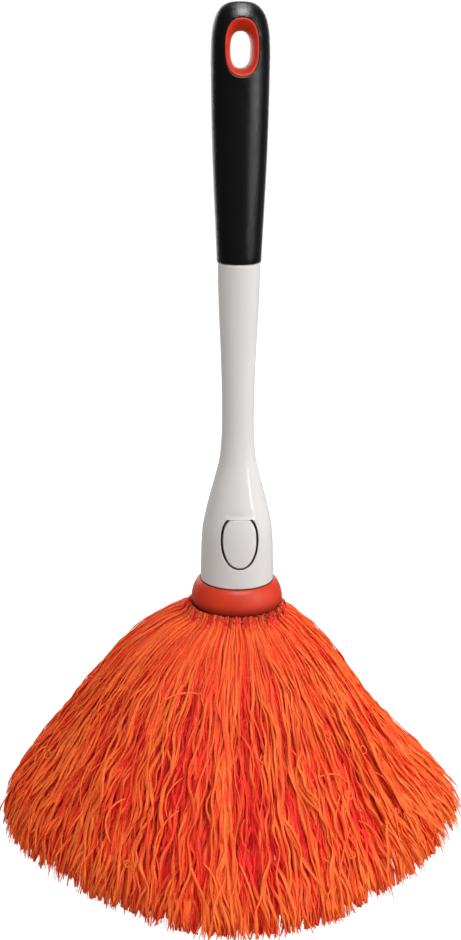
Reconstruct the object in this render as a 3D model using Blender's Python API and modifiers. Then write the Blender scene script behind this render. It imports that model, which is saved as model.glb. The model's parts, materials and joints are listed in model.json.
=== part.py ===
"""Feather duster: a hand duster with microfibre strands and a head that pulls off for washing.

Frame: metres, +Z up, origin on the surface that the strand tips stand on, under the middle of
the object. The handle's axis is the Z axis, and the front, with the release button, faces -Y.
"""

import math

import bmesh
import bpy
from mathutils import Vector

MM = 0.001
PARTS = "feather_duster"
CUTTERS = "cutters"
GAP = 0.3 * MM  # between pieces that touch
SEGMENTS = 32  # round a turned piece
FINE_SEGMENTS = 40  # round the pieces that show most
SMALL_SEGMENTS = 20

# Handle
TOTAL_HEIGHT = 400.0 * MM
GRIP_BOTTOM = 285.8 * MM
GRIP_DOME_START = 376.0 * MM
GRIP_RADIUS = 13.35 * MM
GRIP_DEPTH_RATIO = 0.86  # depth over width where the grip is flattened
GRIP_FLAT_FROM = 345.0 * MM  # fully flattened from here up
GRIP_WALL = 2.4 * MM
SHELL_TOP = 285.4 * MM
SHELL_WALL = 1.8 * MM
SPIGOT_BOTTOM = 246.0 * MM

# Hang hole: a full oval, with half widths and half heights
HOLE_CENTRE = 380.5 * MM
HOLE_POWER = 2.5  # 2 is an ellipse, and more is fuller
LINER_HALF = (7.45 * MM, 12.3 * MM)
THROAT_HALF = (4.5 * MM, 8.7 * MM)
FLARE_HALF_WIDTH = 7.0 * MM
FLARE_DEPTH = 10.2 * MM  # from the middle of the grip to where the flare is that wide
FLARE_POWER = 2.5

# Release button: an egg outline with a flat top, where it hinges
HINGE_Z = 164.8 * MM
HINGE_Y = -14.6 * MM
BUTTON_WIDEST_Z = 154.4 * MM
BUTTON_BOTTOM_Z = 141.4 * MM
BUTTON_HALF_WIDTH = 8.0 * MM
BUTTON_UPPER_HALF = 11.6 * MM  # height of the upper half oval that the flat top cuts short
BUTTON_UPPER_POWER = 2.4
BUTTON_LOWER_POWER = 2.15
BUTTON_SLOT = 0.95 * MM
POST_SIZE = (4.0 * MM, 5.6 * MM, 5.0 * MM)
POST_TIP_Y = -10.3 * MM
POST_Z = 148.0 * MM

# Latch
SOCKET_INNER = 8.0 * MM
SOCKET_OUTER = 9.8 * MM
SOCKET_TOP = 178.0 * MM
SOCKET_BOTTOM = 131.4 * MM
WINDOW_WIDTH = 6.4 * MM
WINDOW_Z = (143.0 * MM, 153.0 * MM)
STEM_RADIUS = 7.6 * MM
STEM_TOP = 176.0 * MM
FINGER_WIDTH = 4.8 * MM
FINGER_Z = (132.4 * MM, 157.0 * MM)
FINGER_Y = (-7.2 * MM, -5.0 * MM)
BARB_TIP_Y = -9.9 * MM

# Collar and header
COLLAR_TOP = 130.4 * MM
COLLAR_TOP_RADIUS = 18.2 * MM
COLLAR_RADIUS = 22.4 * MM
COLLAR_WIDEST_Z = 121.2 * MM
COLLAR_BOTTOM = 116.5 * MM
COLLAR_LIP_RADIUS = 19.3 * MM
COLLAR_BORE = 18.2 * MM
HUB_PLATE_Z = (124.6 * MM, 127.4 * MM)
BAND_Z = (116.6 * MM, 124.2 * MM)
BAND_THICKNESS = 2.0 * MM
BAND_RADII = {"outer": 17.9 * MM, "middle": 14.6 * MM, "inner": 11.3 * MM}
PLATE_Z = (113.1 * MM, 116.1 * MM)
SCREW_HOLE = 1.75 * MM
SCREW_HEAD_HEIGHT = 1.3 * MM
HEM_WIDTH = 3.6 * MM
HEM_HEIGHT = 1.6 * MM
POCKET_DEPTH = 2.7 * MM  # under the clamp plate, for the screw's head

# Strands: how far each row spreads, as a share of the outer row's spread
STRANDS_TOP = 116.2 * MM
STRAND_SPREAD = {"outer": 1.0, "middle": 0.63, "inner": 0.30}
SKIRT_STATIONS = (
    (116.2, 17.9),
    (115.4, 23.0),
    (112.6, 31.0),
    (107.0, 38.7),
    (94.0, 52.3),
    (68.0, 71.5),
    (41.0, 92.3),
    (24.0, 105.5),
    (10.0, 113.5),
    (0.0, 117.0),
)  # height and radius in mm, of the outer row's outer face

# Outer faces of the handle, height and radius in mm
SHELL_STATIONS = (
    (285.4, 10.1),
    (255.0, 8.85),
    (232.0, 7.95),
    (209.0, 7.6),
    (197.0, 8.15),
    (189.0, 9.2),
    (173.0, 13.4),
    (157.0, 16.9),
    (140.0, 17.7),
    (130.8, 17.9),
)
GRIP_STATIONS = (
    (376.0, 13.35),
    (350.0, 13.0),
    (325.0, 12.2),
    (304.0, 11.2),
    (285.8, 10.3),
)


# ---------------------------------------------------------------- helpers


def clear_scene():
    for old in list(bpy.data.objects):
        bpy.data.objects.remove(old, do_unlink=True)
    for old in list(bpy.data.collections):
        bpy.data.collections.remove(old)


def collection(name):
    made = bpy.data.collections.new(name)
    bpy.context.scene.collection.children.link(made)
    return made


def material(name, colour, roughness):
    """A plain plastic or rubber, its colour as linear RGB."""
    made = bpy.data.materials.new(name)
    made.use_nodes = True
    shader = made.node_tree.nodes["Principled BSDF"]
    shader.inputs["Base Color"].default_value = (*colour, 1.0)
    shader.inputs["Roughness"].default_value = roughness
    shader.inputs["Metallic"].default_value = 0.0
    made.diffuse_color = (*colour, 1.0)
    return made


def add_object(name, mesh, home):
    made = bpy.data.objects.new(name, mesh)
    bpy.data.collections[home].objects.link(made)
    if home == CUTTERS:
        made.hide_render = True
        made.display_type = "WIRE"
    return made


def bake(obj):
    """Apply the modifiers, so that the mesh can be reshaped or cut."""
    graph = bpy.context.evaluated_depsgraph_get()
    mesh = bpy.data.meshes.new_from_object(obj.evaluated_get(graph))
    obj.modifiers.clear()
    obj.data = mesh
    return obj


def turned(name, outline, home=PARTS, segments=SEGMENTS, closed=True):
    """Turn an outline of (radius, height) about Z. It runs down the outer side first."""
    mesh = bpy.data.meshes.new(name)
    form = bmesh.new()
    points = [form.verts.new((radius, 0.0, height)) for radius, height in outline]
    for first, second in zip(points, points[1:]):
        form.edges.new((first, second))
    if closed:
        form.edges.new((points[-1], points[0]))
    form.to_mesh(mesh)
    form.free()
    obj = add_object(name, mesh, home)
    screw = obj.modifiers.new("turn", "SCREW")
    screw.axis = "Z"
    screw.angle = math.tau
    screw.steps = segments
    screw.render_steps = segments
    screw.use_merge_vertices = True
    screw.merge_threshold = 0.00001
    screw.use_normal_calculate = False
    return bake(obj)


def prism(name, outline, y_range, home=CUTTERS):
    """A flat outline of (x, z) carried along Y."""
    curve = bpy.data.curves.new(name, "CURVE")
    curve.dimensions = "2D"
    curve.fill_mode = "BOTH"
    curve.extrude = (y_range[1] - y_range[0]) / 2
    spline = curve.splines.new("POLY")
    spline.points.add(len(outline) - 1)
    for point, (x, z) in zip(spline.points, outline):
        point.co = (x, z, 0.0, 1.0)
    spline.use_cyclic_u = True
    drawn = add_object(name + "_outline", curve, home)
    drawn.rotation_euler = (math.pi / 2, 0.0, 0.0)
    drawn.location.y = (y_range[0] + y_range[1]) / 2
    bpy.context.view_layer.update()
    graph = bpy.context.evaluated_depsgraph_get()
    mesh = bpy.data.meshes.new_from_object(drawn.evaluated_get(graph))
    form = bmesh.new()
    form.from_mesh(mesh)
    bmesh.ops.remove_doubles(form, verts=form.verts, dist=0.000001)
    bmesh.ops.recalc_face_normals(form, faces=form.faces)
    form.to_mesh(mesh)
    form.free()
    obj = add_object(name, mesh, home)
    obj.matrix_world = drawn.matrix_world
    bpy.data.objects.remove(drawn, do_unlink=True)
    return obj


def block(name, low, high, home=CUTTERS):
    """A box between two corners."""
    mesh = bpy.data.meshes.new(name)
    form = bmesh.new()
    bmesh.ops.create_cube(form, size=1.0)
    for vert in form.verts:
        for i in range(3):
            vert.co[i] = low[i] + (vert.co[i] + 0.5) * (high[i] - low[i])
    form.to_mesh(mesh)
    form.free()
    return add_object(name, mesh, home)


def boolean(obj, cutter, operation="DIFFERENCE"):
    cut = obj.modifiers.new(operation.lower(), "BOOLEAN")
    cut.operation = operation
    cut.solver = "EXACT"
    cut.object = cutter
    return bake(obj)


def finish(obj, look, smooth_angle=35):
    """Give a piece its material and shade its round faces smooth."""
    mesh = obj.data
    mesh.materials.clear()
    mesh.materials.append(look)
    mesh.shade_smooth()
    mesh.set_sharp_from_angle(angle=math.radians(smooth_angle))
    return obj


def smooth_stations(stations, per_span):
    """Points on a smooth curve through stations of (height, radius) in mm, as (radius, height)."""
    points = []
    last = len(stations) - 1
    for i in range(last):
        before = stations[max(i - 1, 0)]
        start, end = stations[i], stations[i + 1]
        after = stations[min(i + 2, last)]
        span = end[0] - start[0]
        slope_in = (end[1] - before[1]) / (end[0] - before[0])
        slope_out = (after[1] - start[1]) / (after[0] - start[0])
        for step in range(per_span):
            t = step / per_span
            blend_start = 2 * t**3 - 3 * t**2 + 1
            blend_end = 3 * t**2 - 2 * t**3
            lead_in = (t**3 - 2 * t**2 + t) * span * slope_in
            lead_out = (t**3 - t**2) * span * slope_out
            radius = blend_start * start[1] + blend_end * end[1] + lead_in + lead_out
            points.append((radius * MM, (start[0] + t * span) * MM))
    points.append((stations[last][1] * MM, stations[last][0] * MM))
    return points


def arc(centre, radii, start, end, count, power=2.0):
    """Points on an elliptic arc, or a fuller one with a higher power; angles in degrees."""
    points = []
    for i in range(count + 1):
        angle = math.radians(start + (end - start) * i / count)
        cosine, sine = math.cos(angle), math.sin(angle)
        x = math.copysign(abs(cosine) ** (2 / power), cosine)
        z = math.copysign(abs(sine) ** (2 / power), sine)
        points.append((centre[0] + radii[0] * x, centre[1] + radii[1] * z))
    return points


def on_axis(outline):
    """Put the ends of an outline exactly on the axis."""
    return [(0.0, outline[0][1])] + outline[1:-1] + [(0.0, outline[-1][1])]


# ---------------------------------------------------------------- handle


def grip_outline(inset):
    """The grip's outer face, moved in by inset: from the dome's top down to the lower edge."""
    dome_height = TOTAL_HEIGHT - GRIP_DOME_START - inset
    dome = arc((0.0, GRIP_DOME_START), (GRIP_RADIUS - inset, dome_height), 90, 0, 8, power=3.0)
    side = [(radius - inset, z) for radius, z in smooth_stations(GRIP_STATIONS, 2)]
    return dome + side[1:]


def flatten_grip(obj):
    """Flatten the grip front to back, smoothly from round at its lower edge."""
    for vert in obj.data.vertices:
        rise = (vert.co.z - GRIP_BOTTOM) / (GRIP_FLAT_FROM - GRIP_BOTTOM)
        rise = min(max(rise, 0.0), 1.0)
        ease = rise * rise * (3 - 2 * rise)
        vert.co.y *= 1.0 - (1.0 - GRIP_DEPTH_RATIO) * ease
    return obj


def oval_prism(name, grow):
    """The liner's outline, grown evenly, carried right through the grip."""
    half = [size + grow for size in LINER_HALF]
    outline = arc((0.0, HOLE_CENTRE), half, 0, 360, 32, HOLE_POWER)[:-1]
    return prism(name, outline, (-0.02, 0.02))


def make_grip_sleeve(look, hole):
    outer = grip_outline(0.0)
    inner = grip_outline(GRIP_WALL)
    outline = on_axis(outer + inner[::-1])
    sleeve = flatten_grip(turned("grip_sleeve", outline, segments=FINE_SEGMENTS, closed=False))
    return finish(boolean(sleeve, hole), look)


def make_grip_core(look, hole):
    top = grip_outline(GRIP_WALL + GAP)
    spigot = [
        (top[-1][0], GRIP_BOTTOM),
        (SHELL_STATIONS[0][1] * MM - SHELL_WALL - GAP, SHELL_TOP),
        (SHELL_STATIONS[1][1] * MM - SHELL_WALL - GAP, SHELL_STATIONS[1][0] * MM),
        (SHELL_STATIONS[1][1] * MM - SHELL_WALL - 2 * GAP, SPIGOT_BOTTOM),
        (0.0, SPIGOT_BOTTOM),
    ]
    outline = on_axis(top[:-1] + spigot)
    core = flatten_grip(turned("grip_core", outline, segments=FINE_SEGMENTS, closed=False))
    return finish(boolean(core, hole), look)


def stretch_throat(throat):
    """Carry the turned throat from circles about Z to full ovals about Y."""
    lengthen = (LINER_HALF[1] - THROAT_HALF[1]) / (LINER_HALF[0] - THROAT_HALF[0])
    for vert in throat.data.vertices:
        x, y, depth = vert.co
        half_width = math.hypot(x, y)
        half_height = THROAT_HALF[1] + (half_width - THROAT_HALF[0]) * lengthen
        angle = math.degrees(math.atan2(y, x))
        if half_width < THROAT_HALF[0] / 2:
            half_width = half_height = 0.0
        side, rise = arc((0.0, 0.0), (half_width, half_height), angle, angle, 1, HOLE_POWER)[0]
        vert.co = (side, -depth, HOLE_CENTRE + rise)


def make_hang_hole_liner(look):
    """An oval lining whose faces are flush with the grip, flared towards the front and back."""
    liner = oval_prism("liner_form", 0.0)
    liner.data.transform(liner.matrix_world)
    body = add_object("hang_hole_liner", liner.data.copy(), PARTS)
    outer = on_axis(grip_outline(0.0) + [(0.0, GRIP_BOTTOM)])
    envelope = flatten_grip(turned("grip_envelope", outer, CUTTERS, FINE_SEGMENTS, closed=False))
    boolean(body, envelope, "INTERSECT")
    flare = []
    steps = 10
    reach = 1.4 * FLARE_DEPTH
    for i in range(steps + 1):
        depth = reach * (1 - 2 * i / steps)
        share = (abs(depth) / FLARE_DEPTH) ** FLARE_POWER
        flare.append((THROAT_HALF[0] + (FLARE_HALF_WIDTH - THROAT_HALF[0]) * share, depth))
    outline = [(0.0, reach)] + flare + [(0.0, -reach)]
    throat = turned("throat", outline, CUTTERS, 32, closed=False)
    stretch_throat(throat)
    return finish(boolean(body, throat), look)


def shell_outline():
    outer = smooth_stations(SHELL_STATIONS, 2)
    inner = [(radius - SHELL_WALL, z) for radius, z in smooth_stations(SHELL_STATIONS, 1)]
    return outer + inner[::-1]


def button_outline(grow, top_z):
    """The egg outline, grown by the slot's width, with its flat top at a given height."""
    half = BUTTON_HALF_WIDTH + grow
    lower = BUTTON_WIDEST_Z - BUTTON_BOTTOM_Z + grow
    upper = BUTTON_UPPER_HALF + grow
    rise = (top_z - BUTTON_WIDEST_Z) / upper
    cut_angle = math.degrees(math.asin(rise ** (BUTTON_UPPER_POWER / 2)))
    centre = (0.0, BUTTON_WIDEST_Z)
    left = arc(centre, (half, upper), 180 - cut_angle, 180, 5, BUTTON_UPPER_POWER)
    bottom = arc(centre, (half, lower), 180, 360, 20, BUTTON_LOWER_POWER)
    right = arc(centre, (half, upper), 0, cut_angle, 5, BUTTON_UPPER_POWER)
    return left + bottom[1:-1] + right


def make_shaft_shell(look):
    shell = turned("shaft_shell", shell_outline(), segments=FINE_SEGMENTS)
    window = prism("button_window", button_outline(BUTTON_SLOT, HINGE_Z + GAP), (-0.03, 0.0))
    return finish(boolean(shell, window), look)


def make_release_button(look):
    """The tab cut from the front of the bell, with the post behind it that pushes the latch."""
    tab = turned("release_button", shell_outline(), segments=FINE_SEGMENTS)
    form = prism("button_form", button_outline(0.0, HINGE_Z), (-0.03, 0.0))
    boolean(tab, form, "INTERSECT")
    width, depth, height = POST_SIZE
    low = (-width / 2, POST_TIP_Y - depth, POST_Z - height / 2)
    high = (width / 2, POST_TIP_Y, POST_Z + height / 2)
    boolean(tab, block("button_post", low, high), "UNION")
    return finish(tab, look)


def make_socket_sleeve(look):
    flange = SHELL_STATIONS[-1][1] * MM - SHELL_WALL - GAP
    outline = [
        (SOCKET_OUTER, SOCKET_TOP),
        (SOCKET_OUTER, SOCKET_BOTTOM + 2 * MM),
        (flange, SOCKET_BOTTOM + 2 * MM),
        (flange, SOCKET_BOTTOM),
        (SOCKET_INNER, SOCKET_BOTTOM),
        (SOCKET_INNER, SOCKET_TOP),
    ]
    sleeve = turned("socket_sleeve", outline)
    low = (-WINDOW_WIDTH / 2, -2 * SOCKET_OUTER, WINDOW_Z[0])
    high = (WINDOW_WIDTH / 2, 0.0, WINDOW_Z[1])
    return finish(boolean(sleeve, block("latch_window", low, high)), look)


# ---------------------------------------------------------------- head


def make_head_hub(look):
    """The plate that the bands press against, and the stem that plugs into the handle."""
    chamfer = 1.2 * MM
    boss = BAND_RADII["inner"] - BAND_THICKNESS - HEM_WIDTH - 1 * MM
    hole_top = FINGER_Z[0] - 2 * MM
    outline = [
        (0.0, STEM_TOP),
        (STEM_RADIUS - chamfer, STEM_TOP),
        (STEM_RADIUS, STEM_TOP - chamfer),
        (STEM_RADIUS, HUB_PLATE_Z[1]),
        (COLLAR_BORE - 2 * GAP, HUB_PLATE_Z[1]),
        (COLLAR_BORE - 2 * GAP, HUB_PLATE_Z[0]),
        (boss, HUB_PLATE_Z[0]),
        (boss, PLATE_Z[1] + GAP),
        (SCREW_HOLE, PLATE_Z[1] + GAP),
        (SCREW_HOLE, hole_top),
        (0.0, hole_top),
    ]
    hub = turned("head_hub", outline, closed=False)
    side = FINGER_WIDTH / 2 + GAP
    low = (-side, -2 * STEM_RADIUS, FINGER_Z[0] - GAP)
    high = (side, FINGER_Y[1] + 2.4 * MM, FINGER_Z[1] + 1 * MM)
    return finish(boolean(hub, block("finger_slot", low, high)), look)


def make_latch_finger(look):
    """A springy finger fixed at its foot, with a barb that is square below and sloped above."""
    front, back = FINGER_Y
    barb_low = WINDOW_Z[0] + GAP
    outline = [
        (back, FINGER_Z[0]),
        (back, FINGER_Z[1]),
        (front, FINGER_Z[1]),
        (front, WINDOW_Z[1] - GAP),
        (BARB_TIP_Y, POST_Z + 1.5 * MM),
        (BARB_TIP_Y, barb_low),
        (front, barb_low),
        (front, FINGER_Z[0]),
    ]
    half = FINGER_WIDTH / 2
    finger = prism("latch_finger_form", outline, (-half, half))
    mesh = finger.data.copy()
    made = add_object("latch_finger", mesh, PARTS)
    for vert in mesh.vertices:
        x, z, y = vert.co
        vert.co = (y, x, z)
    form = bmesh.new()
    form.from_mesh(mesh)
    bmesh.ops.recalc_face_normals(form, faces=form.faces)
    form.to_mesh(mesh)
    form.free()
    return finish(made, look)


def make_collar_ring(look):
    bulge = COLLAR_RADIUS - COLLAR_TOP_RADIUS
    upper = arc(
        (COLLAR_TOP_RADIUS, COLLAR_WIDEST_Z),
        (bulge, COLLAR_TOP - COLLAR_WIDEST_Z),
        90,
        0,
        6,
        power=1.6,
    )
    lower = arc(
        (COLLAR_LIP_RADIUS, COLLAR_WIDEST_Z),
        (COLLAR_RADIUS - COLLAR_LIP_RADIUS, COLLAR_WIDEST_Z - COLLAR_BOTTOM),
        0,
        -90,
        5,
    )
    bore = [
        (COLLAR_BORE, COLLAR_BOTTOM),
        (COLLAR_BORE, HUB_PLATE_Z[1] + GAP),
        (STEM_RADIUS + 2 * GAP, HUB_PLATE_Z[1] + GAP),
        (STEM_RADIUS + 2 * GAP, COLLAR_TOP),
    ]
    ring = turned("collar_ring", upper + lower[1:] + bore, segments=FINE_SEGMENTS)
    return finish(ring, look)


def make_header_band(row, look):
    """A sewn band that holds one row of strands; the inner one has a hem on the clamp plate."""
    outer = BAND_RADII[row]
    inner = outer - BAND_THICKNESS
    hem = inner
    if row == "inner":
        hem = inner - HEM_WIDTH
    low, high = BAND_Z
    outline = [(outer, high), (outer, low), (hem, low)]
    if hem < inner:
        outline += [(hem, low + HEM_HEIGHT), (inner, low + HEM_HEIGHT)]
    outline.append((inner, high))
    return finish(turned("header_band_" + row, outline), look)


def make_clamp_plate(look):
    radius = BAND_RADII["inner"] - BAND_THICKNESS - GAP
    low, high = PLATE_Z
    outline = [(radius, high), (radius, low), (SCREW_HOLE, low), (SCREW_HOLE, high)]
    return finish(turned("clamp_plate", outline), look)


def make_clamp_screw(look):
    shank = 1.45 * MM
    head = 3.6 * MM
    top = FINGER_Z[0] - 3 * MM
    under_head = PLATE_Z[0] - GAP
    rim = 0.8 * MM
    rounding = arc((0.0, under_head - rim), (head, SCREW_HEAD_HEIGHT), 0, -90, 4)
    outline = [(0.0, top), (shank, top), (shank, under_head), (head, under_head)] + rounding
    screw = turned("clamp_screw", on_axis(outline), segments=SMALL_SEGMENTS, closed=False)
    slot_top = under_head - rim - SCREW_HEAD_HEIGHT / 3
    slot = block("driver_slot", (-head - GAP, -0.4 * MM, 0.0), (head + GAP, 0.4 * MM, slot_top))
    return finish(boolean(screw, slot), look)


def strand_face(row, inner_side):
    """The outer or inner face of a row of strands, from its band down to the tips."""
    start = BAND_RADII[row]
    spread = STRAND_SPREAD[row]
    if inner_side:
        rows = list(STRAND_SPREAD)
        spread = STRAND_SPREAD[rows[rows.index(row) + 1]]
        start -= BAND_THICKNESS
    face = []
    for radius, z in smooth_stations(SKIRT_STATIONS, 1):
        face.append((start + (radius - BAND_RADII["outer"]) * spread, z))
    return face


def make_strands(row, look):
    """One row of strands as a plain closed solid that stands on its tips."""
    outer = strand_face(row, inner_side=False)
    if row == "inner":
        pocket = PLATE_Z[0] - POCKET_DEPTH
        wall = BAND_RADII["inner"] - BAND_THICKNESS
        outline = [(0.0, pocket), (wall, pocket), (wall, STRANDS_TOP)] + outer + [(0.0, 0.0)]
        made = turned("strands_inner", outline, closed=False)
    else:
        inner = strand_face(row, inner_side=True)
        made = turned("strands_" + row, outer + inner[::-1])
    return finish(made, look)


# ---------------------------------------------------------------- assembly


def pivot(name, location, children):
    """An empty on a joint's axis, which carries the pieces that move about it."""
    empty = bpy.data.objects.new(name, None)
    empty.empty_display_size = 0.02
    empty.location = location
    bpy.data.collections[PARTS].objects.link(empty)
    for child in children:
        child.parent = empty
        child.matrix_parent_inverse.identity()
        child.location = child.location - Vector(location)
    return empty


def main():
    clear_scene()
    collection(PARTS)
    collection(CUTTERS)
    white = material("white_plastic", (0.76, 0.74, 0.72), 0.22)
    inner_white = material("inner_plastic", (0.62, 0.61, 0.59), 0.45)
    black = material("black_rubber", (0.012, 0.011, 0.013), 0.5)
    core = material("core_plastic", (0.05, 0.05, 0.055), 0.5)
    orange = material("orange_plastic", (0.80, 0.075, 0.025), 0.35)
    yarn = material("microfibre", (0.83, 0.10, 0.028), 0.9)
    tape = material("header_tape", (0.60, 0.07, 0.02), 0.9)
    steel = material("screw_steel", (0.60, 0.60, 0.62), 0.3)
    steel.node_tree.nodes["Principled BSDF"].inputs["Metallic"].default_value = 1.0

    hole = oval_prism("hang_hole", GAP)
    handle = [
        make_grip_sleeve(black, hole),
        make_grip_core(core, hole),
        make_hang_hole_liner(orange),
        make_shaft_shell(white),
        make_socket_sleeve(inner_white),
    ]
    button = make_release_button(white)

    make_head_hub(inner_white)
    make_latch_finger(inner_white)
    make_collar_ring(orange)
    make_clamp_plate(inner_white)
    make_clamp_screw(steel)
    for row in STRAND_SPREAD:
        make_header_band(row, tape)
        make_strands(row, yarn)

    hinge = pivot("button_hinge", (0.0, HINGE_Y, HINGE_Z), [button])
    pivot("handle_lift", (0.0, 0.0, COLLAR_TOP), handle + [hinge])
    bpy.context.view_layer.update()


main()
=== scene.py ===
"""Looks of the hand duster: fine plastic and rubber skins, and every strand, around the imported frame.

Metres, +Z up, the front (the release button) faces -Y. Every size comes from the frame or from a
named value below.
"""

import json
import math
from dataclasses import dataclass

import bmesh
import bpy
import numpy as np
from mathutils import Matrix, Vector


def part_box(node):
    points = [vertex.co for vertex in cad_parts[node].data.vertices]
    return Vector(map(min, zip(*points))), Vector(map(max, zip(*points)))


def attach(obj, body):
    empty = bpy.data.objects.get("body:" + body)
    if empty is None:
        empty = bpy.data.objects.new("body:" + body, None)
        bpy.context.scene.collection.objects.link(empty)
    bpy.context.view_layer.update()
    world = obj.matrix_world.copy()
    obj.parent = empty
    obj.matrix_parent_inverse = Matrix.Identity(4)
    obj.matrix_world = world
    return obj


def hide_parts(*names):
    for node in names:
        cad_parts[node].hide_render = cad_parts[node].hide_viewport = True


MM = 0.001
FRONT, BACK = -1.0, 1.0

# Camera, level with the hang hole and a little to the left of the front
CAMERA_DISTANCE = 0.6506
CAMERA_HEIGHT = 0.3806
CAMERA_AZIMUTH = -4.5
CAMERA_PITCH = 16.7
CAMERA_ROLL = 0.3
CAMERA_ASIDE = 3.4 * MM  # the handle stands this far right of the middle of the view
LENS = 54.0

# Studio: name, place, target, width and height, watts, and the rays that don't see the light
BELL = (0.0, 0.0, 0.17)
LIGHTS = (
    ("key", (0.80, -0.75, 0.95), BELL, (0.7, 0.9), 11.9, "glossy"),
    ("side", (1.1, -0.05, 0.35), BELL, (0.5, 0.9), 5.0, "glossy"),
    ("fill", (-1.0, -0.6, 0.70), BELL, (1.0, 1.0), 4.6, "glossy"),
    ("front", (0.35, -1.0, 0.45), (0.0, 0.0, 0.05), (0.6, 0.6), 3.0, "glossy"),
    ("top", (0.1, 0.1, 1.3), BELL, (0.5, 0.5), 5.0, None),
    ("back", (-0.1, 1.2, 0.45), BELL, (1.6, 0.8), 10.0, None),
    ("band", (0.90, -0.64, 0.46), (0.0, 0.0, 0.24), (0.10, 0.48), 4.2, "diffuse"),
    ("crown", (0.1, -0.5, 1.2), (0.0, 0.0, 0.39), (0.5, 0.4), 15.0, "diffuse"),
)
WHITE = (1.0, 1.0, 1.0)
SOFT_FILL = 0.42  # the world's strength for matt faces
# How strongly gloss mirrors the world (To), by how far its direction is to the back (From)
WHERE_MIRRORED = (("From Min", 0.45), ("From Max", 0.9), ("To Min", 0.05), ("To Max", 0.4))
FLOOR_GREY = (0.30, 0.30, 0.30)
FLOOR_GLOW = 0.90

# Skins
COLUMNS = 144  # round the handle
SHELL_WALL = 1.8 * MM
GRIP_WALL = 2.3 * MM
GRIP_DOME = 24 * MM  # how far down from the top the dome's stations go
WINDOW_RINGS = 10
WINDOW_COLUMNS = 18  # either side of the middle
FILLET_STEPS = 4

# Hang hole
HOLE_POWER = 2.5  # how full its oval is, where 2 is an ellipse
HOLE_MARGIN = 4.5 * MM  # of grip round it that is meshed again
HOLE_FILLET = 0.5 * MM
FLARE_POWER = 2.5
THROAT_DROP = 1.0 * MM  # how far its throat lies under its mouth
THROAT_TRIM = 0.9 * MM  # how much shorter the throat's half height is than the solid's
LINER_ROUNDING = 0.45 * MM
LINER_COLUMNS = 96

# Release button
SLOT_WIDTH = 1.05 * MM
BUTTON_FILLET = 0.40 * MM
BUTTON_WIDEST = 10.4 * MM  # how far under its top edge it is widest
BUTTON_UPPER = 11.6 * MM  # the height of its upper half, if the top weren't cut flat
UPPER_POWER, LOWER_POWER = 2.4, 2.15  # how full its halves are
HINGE_GROOVE = 0.08 * MM  # at most, between the hinge line and the button's top edge
HINGE_GAP = 0.05 * MM  # at most, between the hinge line and the shell's
BUTTON_COLUMNS = 96
BUTTON_RINGS = 14

# Collar
COLLAR_BORE = 18.2 * MM
COLLAR_PLATE = 2.5 * MM  # how thick its top is
COLLAR_GROOVE = 0.9 * MM  # how far the bell's foot is let into it
COLLAR_SOFT = 0.4 * MM  # how far its edges are softened
STEM_GAP = 0.6 * MM

# Strands
SEED = 7
FLOOR_CLEARANCE = 0.4 * MM
YARN_LENGTH = 0.165  # for the waves of its thickness, twist and shade
YARN_SIDES = 6
YARN_FLATNESS = 0.38  # its thickness over its width
# Painted shade: the most that a buried root's colour is darkened
MOST_PAINTED_SHADE = 0.92  # how much darker a buried root can be
STRAYS = 120
HAIRS = 4200


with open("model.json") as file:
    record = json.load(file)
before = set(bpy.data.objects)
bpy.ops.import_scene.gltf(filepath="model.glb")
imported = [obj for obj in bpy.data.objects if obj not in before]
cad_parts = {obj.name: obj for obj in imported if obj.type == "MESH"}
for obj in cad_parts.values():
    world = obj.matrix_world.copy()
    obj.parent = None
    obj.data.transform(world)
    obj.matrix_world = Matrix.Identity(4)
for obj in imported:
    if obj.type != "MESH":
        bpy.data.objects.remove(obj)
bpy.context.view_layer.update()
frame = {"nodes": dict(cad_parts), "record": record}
NODES = frame["nodes"]


# ---------------------------------------------------------------- camera, light and floor


def add_object(name, data):
    made = bpy.data.objects.new(name, data)
    bpy.context.scene.collection.objects.link(made)
    return made


def make_camera():
    data = bpy.data.cameras.new("camera")
    data.lens = LENS
    data.clip_start = 0.01
    data.clip_end = 50.0
    camera = add_object("camera", data)
    azimuth = math.radians(CAMERA_AZIMUTH)
    back = Vector((math.sin(azimuth), -math.cos(azimuth), 0.0))
    right = Vector((math.cos(azimuth), math.sin(azimuth), 0.0))
    camera.location = back * CAMERA_DISTANCE - right * CAMERA_ASIDE
    camera.location.z = CAMERA_HEIGHT
    turn = Matrix.Rotation(azimuth, 4, "Z")
    tilt = Matrix.Rotation(math.radians(90.0 - CAMERA_PITCH), 4, "X")
    roll = Matrix.Rotation(math.radians(CAMERA_ROLL), 4, "Z")
    camera.rotation_euler = (turn @ tilt @ roll).to_euler()
    bpy.context.scene.camera = camera


def area_light(name, place, target, size, watts, unseen_by):
    data = bpy.data.lights.new(name, "AREA")
    data.shape = "RECTANGLE"
    data.size, data.size_y = size
    data.energy = watts
    light = add_object(name, data)
    light.location = place
    aim = Vector(target) - Vector(place)
    light.rotation_euler = aim.to_track_quat("-Z", "Y").to_euler()
    light.visible_camera = False
    light.visible_glossy = unseen_by != "glossy"
    light.visible_diffuse = unseen_by != "diffuse"


def background(nodes, colour, strength):
    """A world's background node, to be mixed by the kind of ray."""
    made = nodes.new("ShaderNodeBackground")
    made.inputs["Color"].default_value = (*colour, 1.0)
    made.inputs["Strength"].default_value = strength
    return made


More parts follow.
